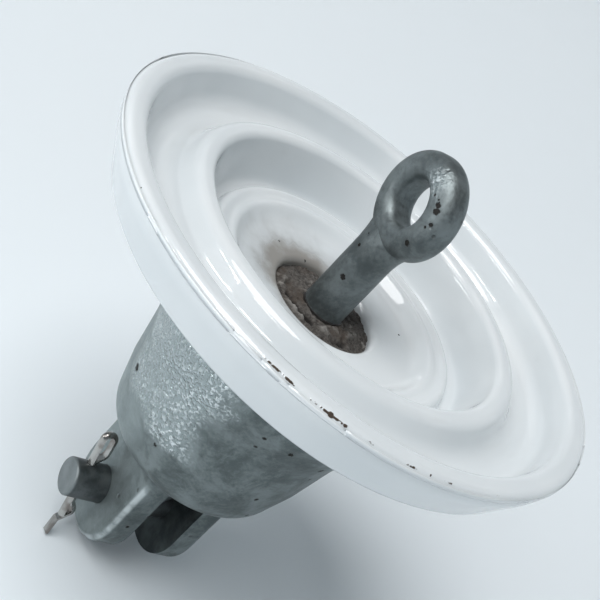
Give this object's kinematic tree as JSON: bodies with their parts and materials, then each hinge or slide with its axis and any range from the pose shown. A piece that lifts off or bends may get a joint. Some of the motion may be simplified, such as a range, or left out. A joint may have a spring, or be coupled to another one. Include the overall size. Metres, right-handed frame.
{
  "type": "disc suspension insulator",
  "caption": "White porcelain cap and pin disc insulator: galvanised clevis cap with its cottered pin below, ribbed disc, eye pin above.",
  "frame": {"origin": "middle of the clevis pin, on the axis of the insulator", "axes": "+Z along the axis of the insulator, from the clevis cap to the eye; +Y along the clevis pin towards its head, which is also the direction of the bore of the eye; +X completes a right-handed frame. In service the insulator hangs the other way up, cap above eye."},
  "size_m": [0.165, 0.165, 0.1768],
  "materials": {
    "white_glaze": "glossy white glaze",
    "porcelain_grit": "rough grit fired into the glaze",
    "galvanised_iron": "hot-dip galvanised casting",
    "galvanised_steel": "hot-dip galvanised forging",
    "pin_steel": "hot-dip galvanised bar",
    "stainless_wire": "bright drawn wire",
    "bitumen": "thin black bitumen coat",
    "cement": "rough portland cement",
    "cork": "pressed cork"
  },
  "bodies": {
    "insulator": {"porcelain_shell": "white_glaze", "outer_sand_band": "porcelain_grit", "inner_sand_band": "porcelain_grit", "clevis_cap": "galvanised_iron", "cap_bitumen_coat": "bitumen", "cap_cement": "cement", "head_cushion_disc": "cork", "eye_pin": "galvanised_steel", "pin_bitumen_coat": "bitumen", "pin_cement": "cement", "pin_foot_cushion": "cork"},
    "clevis_pin": {"clevis_pin": "pin_steel"},
    "cotter": {"cotter_pin": "stainless_wire"}
  },
  "joints": [
    {"name": "clevis_pin_turn", "type": "hinge", "parent": "insulator", "child": "clevis_pin", "pos_m": [0, 0, 0], "axis": [0, 1, 0], "continuous": true},
    {"name": "cotter_slide", "type": "slide", "parent": "clevis_pin", "child": "cotter", "axis": [-0.3256, 0, 0.9455], "range_m": [-0.0003, 0.0016]}
  ]
}
